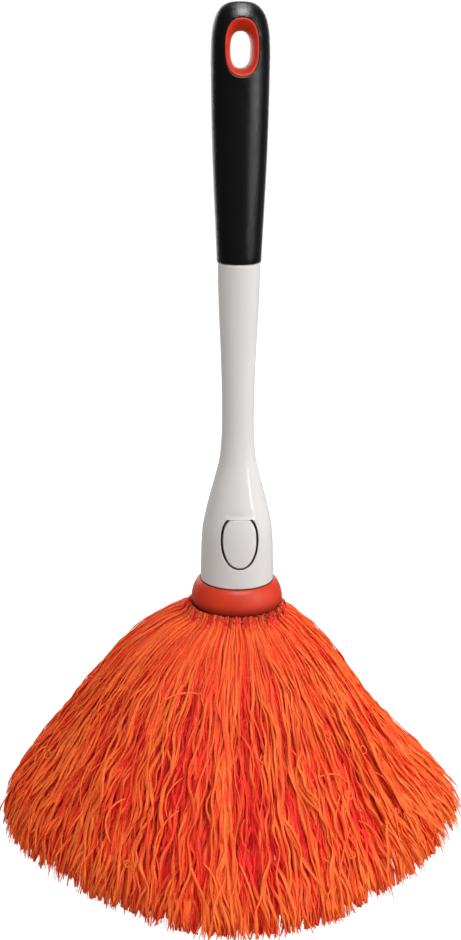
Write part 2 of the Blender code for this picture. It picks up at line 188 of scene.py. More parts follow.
def make_world():
    """White behind everything, and a soft fill for matt faces. Gloss mirrors a white backdrop
    behind the object, which edges it with light, and almost nothing elsewhere."""
    world = bpy.data.worlds.new("studio")
    bpy.context.scene.world = world
    world.use_nodes = True
    nodes, links = world.node_tree.nodes, world.node_tree.links
    nodes.clear()
    where = nodes.new("ShaderNodeTexCoord")
    parts = nodes.new("ShaderNodeSeparateXYZ")
    links.new(where.outputs["Generated"], parts.inputs["Vector"])
    backdrop = nodes.new("ShaderNodeMapRange")
    backdrop.interpolation_type = "SMOOTHSTEP"
    for socket, value in WHERE_MIRRORED:
        backdrop.inputs[socket].default_value = value
    links.new(parts.outputs["Y"], backdrop.inputs["Value"])
    mirrored = background(nodes, WHITE, 0.05)
    links.new(backdrop.outputs["Result"], mirrored.inputs["Strength"])
    path = nodes.new("ShaderNodeLightPath")
    shown = background(nodes, (1.0, 0.98, 0.96), SOFT_FILL)
    for ray, other in (("Is Glossy Ray", mirrored), ("Is Camera Ray", background(nodes, WHITE, 1.0))):
        mix = nodes.new("ShaderNodeMixShader")
        links.new(path.outputs[ray], mix.inputs["Fac"])
        links.new(shown.outputs[0], mix.inputs[1])
        links.new(other.outputs[0], mix.inputs[2])
        shown = mix
    out = nodes.new("ShaderNodeOutputWorld")
    links.new(shown.outputs[0], out.inputs["Surface"])


def make_studio():
    bpy.context.scene.view_settings.view_transform = "Standard"
    make_world()
    for light in LIGHTS:
        area_light(*light)


def make_floor():
    """A pale glowing floor, which the object neither mirrors nor is lit by."""
    bpy.ops.mesh.primitive_plane_add(size=60.0, location=(0.0, 0.0, -0.0001))
    floor = bpy.context.object
    floor.name = "floor"
    look = bpy.data.materials.new("floor_white")
    look.use_nodes = True
    shader = look.node_tree.nodes["Principled BSDF"]
    shader.inputs["Base Color"].default_value = (*FLOOR_GREY, 1.0)
    shader.inputs["Roughness"].default_value = 0.9
    shader.inputs["Specular IOR Level"].default_value = 0.0
    shader.inputs["Emission Color"].default_value = (*WHITE, 1.0)
    shader.inputs["Emission Strength"].default_value = FLOOR_GLOW
    floor.data.materials.append(look)
    floor.visible_diffuse = False
    floor.visible_glossy = False


# ---------------------------------------------------------------- materials


class Look:
    """A material under construction: its shader, and short calls for the nodes that feed it."""

    def __init__(self, name, colour, roughness, metallic=0.0):
        self.material = bpy.data.materials.new(name)
        self.material.use_nodes = True
        self.tree = self.material.node_tree
        self.shader = self.tree.nodes["Principled BSDF"]
        self.set("Base Color", (*colour, 1.0))
        self.set("Roughness", roughness)
        self.set("Metallic", metallic)

    def set(self, socket, value):
        self.shader.inputs[socket].default_value = value

    def node(self, kind, **inputs):
        made = self.tree.nodes.new(kind)
        for name, value in inputs.items():
            made.inputs[name.replace("_", " ")].default_value = value
        return made

    def place(self, stretch=(1.0, 1.0, 1.0)):
        """Where on the object, in metres, stretched for long grain."""
        where = self.node("ShaderNodeTexCoord")
        mapping = self.node("ShaderNodeMapping", Scale=stretch)
        self.tree.links.new(where.outputs["Object"], mapping.inputs["Vector"])
        return mapping.outputs["Vector"]

    def noise(self, scale, detail=4.0, roughness=0.55, stretch=(1.0, 1.0, 1.0)):
        made = self.node("ShaderNodeTexNoise", Scale=scale, Detail=detail, Roughness=roughness)
        self.tree.links.new(self.place(stretch), made.inputs["Vector"])
        return made.outputs["Fac"]

    def ramp(self, value, low, high, start=0.3, end=0.7):
        """Carry a 0 to 1 value to a range of numbers or colours."""
        made = self.tree.nodes.new("ShaderNodeMapRange")
        made.inputs["From Min"].default_value = start
        made.inputs["From Max"].default_value = end
        made.inputs["To Min"].default_value = low
        made.inputs["To Max"].default_value = high
        self.tree.links.new(value, made.inputs["Value"])
        return made.outputs["Result"]

    def blend(self, factor, first, second):
        made = self.tree.nodes.new("ShaderNodeMix")
        made.data_type = "RGBA"
        for socket, value in ((made.inputs[6], first), (made.inputs[7], second)):
            if isinstance(value, tuple):
                socket.default_value = (*value, 1.0)
            else:
                self.tree.links.new(value, socket)
        self.tree.links.new(factor, made.inputs[0])
        return made.outputs[2]

    def mottle(self, value, first, second):
        """Colour the surface from first to second with a noise."""
        self.feed("Base Color", self.blend(self.ramp(value, 0.0, 1.0), first, second))

    def feed(self, socket, output):
        self.tree.links.new(output, self.shader.inputs[socket])

    def bump(self, heights, strength=0.3):
        """Surface relief from (noise, depth in metres) pairs."""
        normal = None
        for height, depth in heights:
            made = self.node("ShaderNodeBump", Strength=strength, Distance=depth)
            self.tree.links.new(height, made.inputs["Height"])
            if normal is not None:
                self.tree.links.new(normal, made.inputs["Normal"])
            normal = made.outputs["Normal"]
        self.feed("Normal", normal)


def white_plastic():
    """Glossy moulded plastic with faint flow marks and rubbed patches."""
    look = Look("white_plastic", (0.61, 0.592, 0.578), 0.16)
    flow = look.noise(60.0, detail=3.0, stretch=(1.0, 1.0, 0.25))
    rubbed = look.noise(220.0, detail=6.0, roughness=0.7)
    look.mottle(flow, (0.56, 0.549, 0.539), (0.58, 0.569, 0.559))
    look.feed("Roughness", look.ramp(rubbed, 0.13, 0.19))
    look.bump([(look.noise(900.0, detail=2.0), 0.02 * MM)], 0.25)
    look.set("Specular IOR Level", 0.2)
    return look.material


def inner_plastic():
    """Plain moulded plastic of the latch and the hub, with a fine spark-eroded grain."""
    look = Look("inner_plastic", (0.60, 0.59, 0.57), 0.42)
    grain = look.noise(1600.0, detail=2.0)
    cloudy = look.noise(90.0)
    look.mottle(cloudy, (0.56, 0.55, 0.53), (0.64, 0.63, 0.61))
    look.feed("Roughness", look.ramp(grain, 0.36, 0.5))
    look.bump([(grain, 0.03 * MM)], 0.4)
    return look.material


def black_rubber():
    """Soft-touch rubber: a fine matt grain, polished a little where the hand rubs it."""
    look = Look("black_rubber", (0.004, 0.0035, 0.0045), 0.4)
    grain = look.noise(2600.0, detail=3.0, roughness=0.6)
    pores = look.noise(1900.0, detail=2.0)
    handled = look.noise(45.0, detail=4.0, stretch=(1.0, 1.0, 0.4))
    look.mottle(handled, (0.003, 0.0027, 0.0035), (0.005, 0.0045, 0.0055))
    look.feed("Roughness", look.ramp(handled, 0.22, 0.27))
    look.bump([(pores, 0.17 * MM), (grain, 0.06 * MM)], 0.85)
    look.set("Specular IOR Level", 0.5)
    return look.material


def core_plastic():
    """Dull plastic of the grip's core."""
    look = Look("core_plastic", (0.05, 0.05, 0.055), 0.5)
    look.feed("Roughness", look.ramp(look.noise(700.0), 0.42, 0.6))
    return look.material


def orange_plastic():
    """Satin rubbery plastic, with painted shade at the collar's foot, where the strands shade it."""
    look = Look("orange_plastic", (0.62, 0.046, 0.017), 0.34)
    cloudy = look.noise(70.0, detail=5.0)
    grain = look.noise(1800.0, detail=2.0)
    unshaded_orange = look.blend(look.ramp(cloudy, 0.0, 1.0), (0.50, 0.026, 0.005), (0.56, 0.033, 0.007))
    parts = look.node("ShaderNodeSeparateXYZ")
    look.tree.links.new(look.place(), parts.inputs["Vector"])
    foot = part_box("collar_ring")[0].z
    # Painted shade: the collar darkens towards its foot, where the strands meet it.
    painted_foot_shade = look.ramp(parts.outputs["Z"], 1.0, 0.0, foot + 1.0 * MM, foot + 7.0 * MM)
    look.feed("Base Color", look.blend(painted_foot_shade, unshaded_orange, (0.11, 0.008, 0.006)))
    look.feed("Roughness", look.ramp(grain, 0.40, 0.50))
    look.bump([(grain, 0.02 * MM)], 0.3)
    look.set("Specular IOR Level", 0.25)
    return look.material


def header_tape():
    """Woven tape, ribbed across its length."""
    look = Look("header_tape", (0.55, 0.06, 0.02), 0.9)
    weave = look.noise(1500.0, stretch=(1.0, 1.0, 4.0))
    look.mottle(weave, (0.42, 0.04, 0.014), (0.66, 0.08, 0.025))
    look.bump([(weave, 0.2 * MM)], 0.6)
    return look.material


def screw_steel():
    """Drawn steel."""
    look = Look("screw_steel", (0.6, 0.6, 0.62), 0.3, metallic=1.0)
    look.feed("Roughness", look.ramp(look.noise(1200.0, stretch=(1.0, 1.0, 6.0)), 0.22, 0.4))
    return look.material


def microfibre():
    """Strand yarn: each yarn's colour is on its mesh, with painted light and shade in it, and the sheen
    is that of its fibres.
    """
    look = Look("microfibre", (0.85, 0.11, 0.03), 0.62)
    colour_with_painted_light = look.tree.nodes.new("ShaderNodeAttribute")
    colour_with_painted_light.attribute_name = "shade"
    fleck = look.ramp(look.noise(1500.0, detail=3.0), 0.86, 1.10)
    product = look.node("ShaderNodeVectorMath")
    product.operation = "SCALE"
    look.tree.links.new(colour_with_painted_light.outputs["Color"], product.inputs["Vector"])
    look.tree.links.new(fleck, product.inputs["Scale"])
    look.feed("Base Color", product.outputs["Vector"])
    look.set("Specular IOR Level", 0.2)
    look.set("Sheen Weight", 0.22)
    look.set("Sheen Roughness", 0.45)
    look.set("Sheen Tint", (1.0, 0.15, 0.05, 1.0))
    return look.material


# ---------------------------------------------------------------- shapes read from the frame


def spline(points, count, closed_start=False):
    """A smooth line of count points through a few, even in distance. closed_start mirrors it at
    the axis."""
    known = [np.array(p, float) for p in points]
    first = 2 * known[0] - known[1]
    if closed_start:
        first = np.array((-known[1][0], known[1][1]))
    known = [first] + known + [2 * known[-1] - known[-2]]
    line = []
    for i in range(1, len(known) - 2):
        before, start, end, after = known[i - 1 : i + 3]
        second = 2 * before - 5 * start + 4 * end - after
        third = 3 * start - before - 3 * end + after
        for t in np.arange(0.0, 1.0, 1.0 / 24):
            line.append(0.5 * (2 * start + (end - before) * t + second * t**2 + third * t**3))
    line.append(known[-2])
    line = np.array(line)
    walked = np.concatenate([[0.0], np.cumsum(np.linalg.norm(np.diff(line, axis=0), axis=1))])
    even = np.linspace(0.0, walked[-1], count)
    return np.stack([np.interp(even, walked, line[:, k]) for k in range(2)], axis=1)


def reach(node, z, direction):
    """How far from the handle's axis a node's outer face is, at a height, in a direction."""
    aim = Vector(direction)
    aside = Vector((aim.y, aim.x, 0.0)) * 0.01 * MM
    start = aim * 0.2 + aside + Vector((0.0, 0.0, z))
    hit, place, _, _ = NODES[node].ray_cast(start, -aim)
    return place.dot(aim) if hit else 0.0


def side_outline(node, heights):
    """A node's outer face as (radius, height) points."""
    return [(reach(node, z, (1.0, 0.0, 0.0)), z) for z in heights]


# ---------------------------------------------------------------- mesh building


def add_mesh(name, verts, faces, look, body):
    """A smooth piece from plain lists, with its doubled points merged and its faces turned out."""
    mesh = bpy.data.meshes.new(name)
    mesh.from_pydata([tuple(v) for v in verts], [], faces)
    form = bmesh.new()
    form.from_mesh(mesh)
    bmesh.ops.remove_doubles(form, verts=form.verts, dist=0.000002)
    bmesh.ops.dissolve_degenerate(form, edges=form.edges, dist=0.000001)
    bmesh.ops.recalc_face_normals(form, faces=form.faces)
    form.to_mesh(mesh)
    form.free()
    mesh.shade_smooth()
    return settle(name, mesh, look, body)


def settle(name, mesh, look, body):
    """Put a finished mesh in the scene, on its body."""
    piece = add_object(name, mesh)
    mesh.materials.append(look)
    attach(piece, body)
    return piece


def around(outline, squeeze=None):
    """Turn (radius, height) rows about Z from the front; squeeze(z) is depth over width."""
    angles = np.arange(COLUMNS) * math.tau / COLUMNS
    rows = []
    for radius, z in outline:
        deep = radius * (squeeze(z) if squeeze else 1.0)
        level = np.full(COLUMNS, z)
        rows.append(np.stack([radius * np.sin(angles), -deep * np.cos(angles), level], axis=1))
    return np.array(rows)


@dataclass
class Window:
    """An opening through one face of a skin. rows and columns are the grid lines it is cut from,
    project(x, z) puts a point on that face, fillet rounds its edge, and sign says which side."""

    rows: list
    columns: list
    project: object
    fillet: float
    sign: float

    def border(self):
        """The grid points round the opening."""
        top, bottom = self.rows[0], self.rows[-1]
        left, right = self.columns[0], self.columns[-1]
        loop = [(top, c) for c in self.columns[:-1]]
        loop += [(r, right) for r in self.rows[:-1]]
        loop += [(bottom, c) for c in self.columns[:0:-1]]
        loop += [(r, left) for r in self.rows[:0:-1]]
        return loop

    def cells(self, columns):
        """The grid's faces inside the opening."""
        lows = [min(pair) for pair in zip(self.rows, self.rows[1:])]
        return {(low, c % columns) for low in lows for c in self.columns[:-1]}


def bridge(faces, one, two):
    """Join two rings of vertices with quads."""
    for i in range(len(one)):
        j = (i + 1) % len(one)
        faces.append((one[i], one[j], two[j], two[i]))


def rounding(radius, steps, first=1):
    """A quarter turn over an edge: how far each step lies short of its side and of its face."""
    turns = [math.radians(90.0 * k / steps) for k in range(first, steps + 1)]
    return [(radius * (1 - math.sin(turn)), radius * (1 - math.cos(turn))) for turn in turns]


def skin(name, grid, tunnels, edge, look, body, closed):
    """A smooth closed skin from a grid of rows round the axis, with tunnels between pairs of
    windows. edge(angle, grow) is the opening's outline in x and z."""
    rows, columns = grid.shape[:2]
    verts = [tuple(p) for p in grid.reshape(-1, 3)]
    skipped = set().union(*(window.cells(columns) for pair in tunnels for window in pair))
    faces = []
    last = rows if closed else rows - 1
    for r in range(last):
        for c in range(columns):
            if (r, c) in skipped:
                continue
            beside = (c + 1) % columns
            here, below = r * columns, (r + 1) % rows * columns
            faces.append((here + c, below + c, below + beside, here + beside))

    for pair in tunnels:
        ends = []
        for window in pair:
            loop = window.border()
            current = [r * columns + c % columns for r, c in loop]
            start = np.array([verts[i] for i in current])
            centre = edge.centre
            angles = np.arctan2(start[:, 2] - centre[1], start[:, 0] - centre[0])
            near = np.array([edge(a, window.fillet) for a in angles])
            rims = []
            for k in range(1, WINDOW_RINGS + 1):
                share = 1.0 - (1.0 - k / WINDOW_RINGS) ** 1.5
                flat = start[:, (0, 2)] * (1 - share) + near * share
                rims.append([window.project(x, z) for x, z in flat])
            for grow, sink in rounding(window.fillet, FILLET_STEPS if window.fillet else 0):
                rim = [window.project(*edge(a, grow)) for a in angles]
                rims.append([(x, y - window.sign * sink, z) for x, y, z in rim])
            for rim in rims:
                fresh = range(len(verts), len(verts) + len(rim))
                verts.extend(rim)
                bridge(faces, current, fresh)
                current = fresh
            ends.append(current)
        bridge(faces, *ends)
    return add_mesh(name, verts, faces, look, body)


def superellipse(angle, half_width, half_height, power):
    """How far a full oval reaches from its centre, in a direction."""
    across = abs(math.cos(angle) / half_width) ** power
    up = abs(math.sin(angle) / half_height) ** power
    return (across + up) ** (-1.0 / power)


class Oval:
    """The hang hole's outline in x and z."""

    def __init__(self, centre, half):
        self.centre = centre
        self.half = half

    def __call__(self, angle, grow=0.0):
        length = superellipse(angle, self.half[0] + grow, self.half[1] + grow, HOLE_POWER)
        return self.centre[0] + math.cos(angle) * length, self.centre[1] + math.sin(angle) * length


class Egg:
    """The release button's outline: an egg with a flat top at the hinge line."""

    def __init__(self, low, high, margin=0.0):
        widest = high.z - BUTTON_WIDEST
        self.centre = (0.0, widest)
        self.half_width = high.x
        self.lower = widest - low.z
        self.upper = BUTTON_UPPER
        self.top = high.z - widest
        self.margin = margin

    def __call__(self, angle, grow=0.0):
        grow += self.margin
        rise = math.sin(angle)
        if rise > 0:
            length = superellipse(angle, self.half_width + grow, self.upper + grow, UPPER_POWER)
            top = self.top + min(max(grow, -HINGE_GROOVE), HINGE_GAP)
            if rise * length > top:
                length = top / rise
        else:
            length = superellipse(angle, self.half_width + grow, self.lower + grow, LOWER_POWER)
        return self.centre[0] + math.cos(angle) * length, self.centre[1] + rise * length


# ---------------------------------------------------------------- handle


def centred_columns(middle):
    """The grid's columns that a window spans."""
    return list(range(middle - WINDOW_COLUMNS, middle + WINDOW_COLUMNS + 1))


def rows_between(outline, turn, bottom, top):
    """The rows of an outline between two heights: down its outer face, whose rows end at turn,
    and as many down its inner face."""
    heights = outline[:, 1]
    outer = [i for i in range(turn) if bottom < heights[i] < top]
    inner = [i for i in range(turn, len(outline)) if bottom < heights[i] < top][::-1]
    count = min(len(outer), len(inner))
    return outer[:count], inner[:count]


def make_grip(look):
    """The rubber grip with its hang hole. Returns what puts a point on its front face."""
    low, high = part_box("grip_sleeve")
    hole_low, hole_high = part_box("hang_hole_liner")
    heights = [high.z - GRIP_DOME * (1 - math.cos(math.radians(a))) for a in range(12, 91, 13)]
    heights += list(np.linspace(high.z - GRIP_DOME, low.z + 0.05 * MM, 12)[1:])
    stations = [(0.0, high.z)] + side_outline("grip_sleeve", heights)
    outer = spline(stations, 110, closed_start=True)
    sampled = np.linspace(low.z + 1 * MM, hole_low.z - 3 * MM, 12)
    deep = [reach("grip_sleeve", z, (0.0, 1.0, 0.0)) for z in sampled]
    wide = [reach("grip_sleeve", z, (1.0, 0.0, 0.0)) for z in sampled]
    ratios = np.array(deep) / np.array(wide)

    def squeeze(z):
        return float(np.interp(z, sampled, ratios))

    outer[-1] = outer[-1] + np.array((-0.05 * MM, 0.0))
    inner = outer[outer[:, 0] > GRIP_WALL * 1.5][::-1].copy()
    inner[:, 0] -= GRIP_WALL
    inner[:, 1] = np.minimum(inner[:, 1], high.z - GRIP_WALL)
    inner = np.vstack([inner, [(0.0, high.z - GRIP_WALL)]])
    inner[0, 1] = low.z
    outline = np.vstack([outer[:-1], outer[-1:] + [(-0.15 * MM, 0.0)], inner])
    grid = around(outline, squeeze)

    centre = (0.0, (hole_low.z + hole_high.z) / 2)
    half = (hole_high.x + 0.1 * MM, (hole_high.z - hole_low.z) / 2 + 0.1 * MM)
    oval = Oval(centre, half)
    span = (hole_low.z - HOLE_MARGIN, hole_high.z + 0.55 * HOLE_MARGIN)
    outer_rows, inner_rows = rows_between(outline, len(outer), *span)

    def face(radii, side):
        line = radii[np.argsort(radii[:, 1])]

        def project(x, z):
            wide = float(np.interp(z, line[:, 1], line[:, 0]))
            deep = wide * squeeze(z)
            share = max(1.0 - (x / wide) ** 2, 0.0)
            return x, side * deep * math.sqrt(share), z

        return project

    tunnels = []
    for side, middle in ((FRONT, 0), (BACK, COLUMNS // 2)):
        columns = centred_columns(middle)
        outside = Window(outer_rows, columns, face(outer, side), HOLE_FILLET, side)
        inside = Window(inner_rows, columns, face(inner, side), 0.0, side)
        tunnels.append((outside, inside))
    grip = skin("grip", grid, tunnels, oval, look, "handle", closed=False)
    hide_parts("grip_sleeve")
    return face(outer, FRONT)


def make_hole_liner(project, look):
    """An oval funnel from both faces of the grip to a narrow throat, with a rounded rim."""
    low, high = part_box("hang_hole_liner")
    middle = Vector((0.0, 0.0, (low.z + high.z) / 2))
    rim = (high.x, (high.z - low.z) / 2)
    liner = NODES["hang_hole_liner"]
    sideways = liner.ray_cast(middle, Vector((1.0, 0.0, 0.0)))[1]
    upwards = liner.ray_cast(middle, Vector((0.0, 0.0, 1.0)))[1]
    throat = (sideways.x, upwards.z - middle.z - THROAT_TRIM)
    count = LINER_COLUMNS
    stations = [(0.0, 0.80, 0.0), (0.0, 0.96, 0.0)]
    for degrees in (0, 25, 50, 75, 100, 125):
        turn = math.radians(degrees)
        inset = LINER_ROUNDING * (1 - math.cos(turn))
        stations.append((inset, 1.0, 0.12 * MM + LINER_ROUNDING * (math.sin(turn) - 1.0) * 0.5))
    lip = stations[-1][0]
    half = [(rim[0] - inset, rim[1] - inset, share, lift, 0.0) for inset, share, lift in stations]
    for share in np.linspace(0.95, 0.0, 13):
        open_share = share**FLARE_POWER
        sizes = [throat[k] + (rim[k] - lip - throat[k]) * open_share for k in range(2)]
        half.append((sizes[0], sizes[1], share, 0.0, THROAT_DROP * (1 - open_share)))
    mirrored = [(a, b, -share, -lift, drop) for a, b, share, lift, drop in half[-2::-1]]
    verts = []
    for a, b, share, lift, drop in half + mirrored:
        for i in range(count):
            angle = math.tau * i / count
            outer = superellipse(angle, *rim, HOLE_POWER)
            length = superellipse(angle, a, b, HOLE_POWER)
            face = project(outer * math.cos(angle), middle.z + outer * math.sin(angle))[1]
            height = middle.z - drop + length * math.sin(angle)
            verts.append((length * math.cos(angle), face * share - lift, height))
    rings = len(verts) // count
    faces = []
    for r in range(rings):
        below = (r + 1) % rings * count
        bridge(faces, range(r * count, (r + 1) * count), range(below, below + count))
    piece = add_mesh("hole_liner", verts, faces, look, "handle")
    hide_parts("hang_hole_liner")


def dent(x, z, hinge):
    """How far the bell's face stands out near the hinge line: a low ridge, and a dip above it."""
    across = max(0.0, 1.0 - abs(x / (7.2 * MM)) ** 4)
    ridge = 0.16 * MM * math.exp(-(((z - hinge) / (0.55 * MM)) ** 2))
    dip = -0.30 * MM * math.exp(-(((z - hinge - 2.0 * MM) / (1.5 * MM)) ** 2))
    return across * (ridge + dip)


def make_shell(look):
    """The bell and neck with the button's window, and the button that fits it."""
    low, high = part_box("shaft_shell")
    tab_low, tab_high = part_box("release_button")
    heights = list(np.linspace(high.z - 0.02 * MM, low.z + 0.02 * MM, 30))
    stations = side_outline("shaft_shell", heights)
    line = spline(stations, 180)
    round_edge = 0.2 * MM
    edge = rounding(round_edge, 3, first=0)
    bottom = [(line[-1, 0] - inset, low.z + rise) for rise, inset in edge]
    outer = np.vstack([line[line[:, 1] > low.z + round_edge * 1.1], bottom])
    inner = line[::-1].copy()
    inner[:, 0] -= SHELL_WALL
    outline = np.vstack([outer, inner])
    grid = around(outline)

    egg = Egg(tab_low, tab_high)
    opening = Egg(tab_low, tab_high, margin=SLOT_WIDTH)
    hinge = tab_high.z
    ordered = line[::-1]

    def radius(z):
        return float(np.interp(z, ordered[:, 1], ordered[:, 0]))

    def outside(x, z):
        out = radius(z) + dent(x, z, hinge)
        return x, -math.sqrt(max(out * out - x * x, 1e-9)), z

    def inside(x, z):
        out = radius(z) - SHELL_WALL
        return x, -math.sqrt(max(out * out - x * x, 1e-9)), z

    front, back = rows_between(outline, len(outer), tab_low.z - 6 * MM, tab_high.z + 7 * MM)
    columns = centred_columns(0)
    tunnel = (
        Window(front, columns, outside, BUTTON_FILLET, FRONT),
        Window(back, columns, inside, 0.0, FRONT),
    )
    shell = skin("shell", grid, [tunnel], opening, look, "handle", closed=True)
    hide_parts("shaft_shell")
    make_button(look, egg, outside, inside)


def make_button(look, egg, outside, inside):
    """The press tab: the bell's own face and back, cut to the egg, with a rounded front edge."""
    count = BUTTON_COLUMNS
    verts, faces = [], []
    fillet = BUTTON_FILLET
    layers = [(k / BUTTON_RINGS, -fillet, 0.0, True) for k in range(1, BUTTON_RINGS + 1)]
    layers += [(1.0, -short, sink, True) for short, sink in rounding(fillet, FILLET_STEPS)]
    layers += [(share, 0.0, 0.0, False) for share in (1.0, 0.75, 0.5, 0.25)]
    middle = egg.centre
    verts.append(outside(*middle))
    for share, grow, sink, is_front in layers:
        for i in range(count):
            angle = math.tau * i / count
            x, z = egg(angle, grow)
            x = middle[0] + (x - middle[0]) * share
            z = middle[1] + (z - middle[1]) * share
            place = outside(x, z) if is_front else inside(x, z)
            verts.append((place[0], place[1] + sink, place[2]))
    verts.append(inside(*middle))
    loops = [range(1 + r * count, 1 + (r + 1) * count) for r in range(len(layers))]
    for one, two in zip(loops, loops[1:]):
        bridge(faces, one, two)
    first, last = loops[0], loops[-1]
    for i in range(count):
        j = (i + 1) % count
        faces.append((0, first[j], first[i]))
        faces.append((last[i], last[j], len(verts) - 1))
    tab = add_mesh("button_tab", verts, faces, look, "button")
    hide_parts("release_button")


def make_collar(look):
    """The half-round ring, with a groove for the bell's foot and a hole for the stem."""
    low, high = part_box("collar_ring")
    hub_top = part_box("head_hub")[1].z
    height = high.z - low.z
    heights = [high.z - height * (1 - math.cos(math.radians(a))) / 2 for a in range(3, 178, 12)]
    stations = side_outline("collar_ring", [high.z - 0.03 * MM] + heights + [low.z + 0.03 * MM])
    outer = spline(stations, 48)
    rim = reach("head_hub", (high.z + hub_top) / 2, (1.0, 0.0, 0.0)) + STEM_GAP
    crown = outer[0] + np.array((-COLLAR_SOFT, -COLLAR_SOFT * 0.3))
    step, ceiling = high.z - COLLAR_GROOVE, high.z - COLLAR_PLATE
    top = [(rim, step), (crown[0] - COLLAR_SOFT, step), crown]
    foot = (outer[-1, 0] - COLLAR_SOFT, low.z)
    under = [foot, (COLLAR_BORE, low.z), (COLLAR_BORE, ceiling), (rim, ceiling)]
    grid = around(np.vstack([top, outer, under]))
    collar = skin("collar", grid, [], None, look, "head", closed=True)
    collar.data.set_sharp_from_angle(angle=math.radians(50))
    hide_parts("collar_ring")


# ---------------------------------------------------------------- strands


@dataclass
class Row:
    """One row of yarns. depth is how far under the outer face its tips lie, spread how far it
    reaches out, shortest the shortest yarn as a share of the whole line, and tone its shade,
    lower for the rows under the top one as painted shade among the yarns."""

    name: str
    node: str
    count: int
    fibres: int
    samples: int
    half_width: float
    depth: tuple
    spread: float
    shortest: float
    tone: float


ROWS = (
    Row("top", "strands_outer", 640, 3, 60, 0.64 * MM, (-1.4 * MM, 1.4 * MM), 1.0, 0.962, 0.32),
    Row("second", "strands_outer", 600, 2, 48, 0.76 * MM, (0.3 * MM, 2.5 * MM), 1.0, 0.965, 0.08),
    Row("third", "strands_outer", 520, 0, 34, 1.15 * MM, (1.5 * MM, 3.8 * MM), 1.0, 0.968, 0.05),
    Row("fourth", "strands_outer", 420, 0, 24, 3.0 * MM, (3.4 * MM, 7.5 * MM), 1.0, 0.975, 0.0),
    Row("middle", "strands_middle", 140, 0, 24, 2.2 * MM, (0.0, 9.0 * MM), 0.75, 0.96, 0.1),
    Row("inner", "strands_inner", 100, 0, 24, 2.2 * MM, (0.0, 9.0 * MM), 0.42, 0.96, 0.1),
)
FIBRE_RADIUS = 0.15 * MM
FACES_A_PIECE = 90000
CLUMP_TURNS = (11, 19, 26, 37, 43)  # waves round the skirt that gather the yarns in clumps


def skirt_line():
    """The outer row's outer face, from under the collar to the tips: even (radius, height) points."""
    widest = {}
    for vert in NODES["strands_outer"].data.vertices:
        z = round(vert.co.z, 5)
        widest[z] = max(widest.get(z, 0.0), math.hypot(vert.co.x, vert.co.y))
    stations = [(widest[z], z) for z in sorted(widest, reverse=True)]
    start = stations[0]
    entry = [(start[0] - 1.0 * MM, start[1] + 4 * MM), (start[0] - 0.8 * MM, start[1] + 1.2 * MM)]
    line = spline(entry + stations, 240)
    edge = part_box("collar_ring")[1].x + 0.8 * MM
    press = np.exp(-(((line[:, 0] - edge) / (1.8 * MM)) ** 2))
    line[:, 1] += 4.6 * MM * press * (line[:, 1] < start[1])
    return line


def line_length(line):
    return np.linalg.norm(np.diff(line, axis=0), axis=1).sum()


def radius_at(line, share):
    """The skirt's radius a share of the way down it."""
    return np.interp(share, np.linspace(0.0, 1.0, len(line)), line[:, 0])


def keep_off_floor(paths, radii):
    paths[..., 2] = np.maximum(paths[..., 2], radii + FLOOR_CLEARANCE)


def smooth_step(value):
    """0 to 1 as value goes from 0 to 1, level at both ends."""
    value = np.clip(value, 0.0, 1.0)
    return value * value * (3 - 2 * value)


def waves(rng, count, walked, lengths, sizes):
    """Smooth random wandering of each yarn: sine waves of a few lengths and sizes, in metres."""
    total = np.zeros((count, len(walked)))
    for length, size in zip(lengths, sizes):
        phase = rng.uniform(0, math.tau, count)[:, None]
        pace = rng.uniform(0.7, 1.4, count)[:, None] / length
        swing = rng.normal(0.0, size, count)[:, None]
        total += swing * np.sin(math.tau * pace * walked + phase)
    return total


def unit(vectors):
    return vectors / (np.linalg.norm(vectors, axis=-1, keepdims=True) + 1e-12)


def frames(paths, outward):
    """Directions across each path: sideways and outward."""
    tangent = unit(np.gradient(paths, axis=-2))
    side = unit(np.cross(tangent, outward))
    return side, np.cross(side, tangent)


def on_skirt(line, share, angle, sunk, spread=1.0):
    """Points on the skirt, a share of the way down it, at an angle round it and sunk under it,
    with their outward directions. The left side stands out further, as it lies in use."""
    steps = np.linspace(0.0, 1.0, len(line))
    radius = np.interp(share, steps, line[:, 0])
    height = np.interp(share, steps, line[:, 1])
    beyond = np.maximum(share - 1.0, 0.0) * (len(line) - 1)
    onward = line[-1] - line[-2]
    radius = radius + beyond * onward[0]
    height = height + beyond * onward[1]
    direction = unit(np.gradient(line, axis=0))
    out_r = np.interp(share, steps, -direction[:, 1])
    out_z = np.interp(share, steps, direction[:, 0])
    radius = line[0, 0] + (radius - line[0, 0]) * spread
    side = np.sin(angle)
    share = np.clip(share, 0.0, 1.0)
    body = smooth_step(share / 0.2) * (1 - 0.9 * share**3)
    radius = radius * (1 - body * (0.105 * side + 0.02 * side**2))
    rim = 0.055 * side**6 - 0.055 - 0.062 * np.sin(2 * angle) ** 2
    radius = radius * (1 + rim * smooth_step((share - 0.4) / 0.6))
    height = height + 5.0 * MM * side**2 * smooth_step((share - 0.55) / 0.45)
    radius = radius - out_r * sunk
    height = height - out_z * sunk
    paths = np.stack([radius * np.sin(angle), -radius * np.cos(angle), height], axis=-1)
    outward = np.stack([out_r * np.sin(angle), -out_r * np.cos(angle), out_z], axis=-1)
    return paths, outward


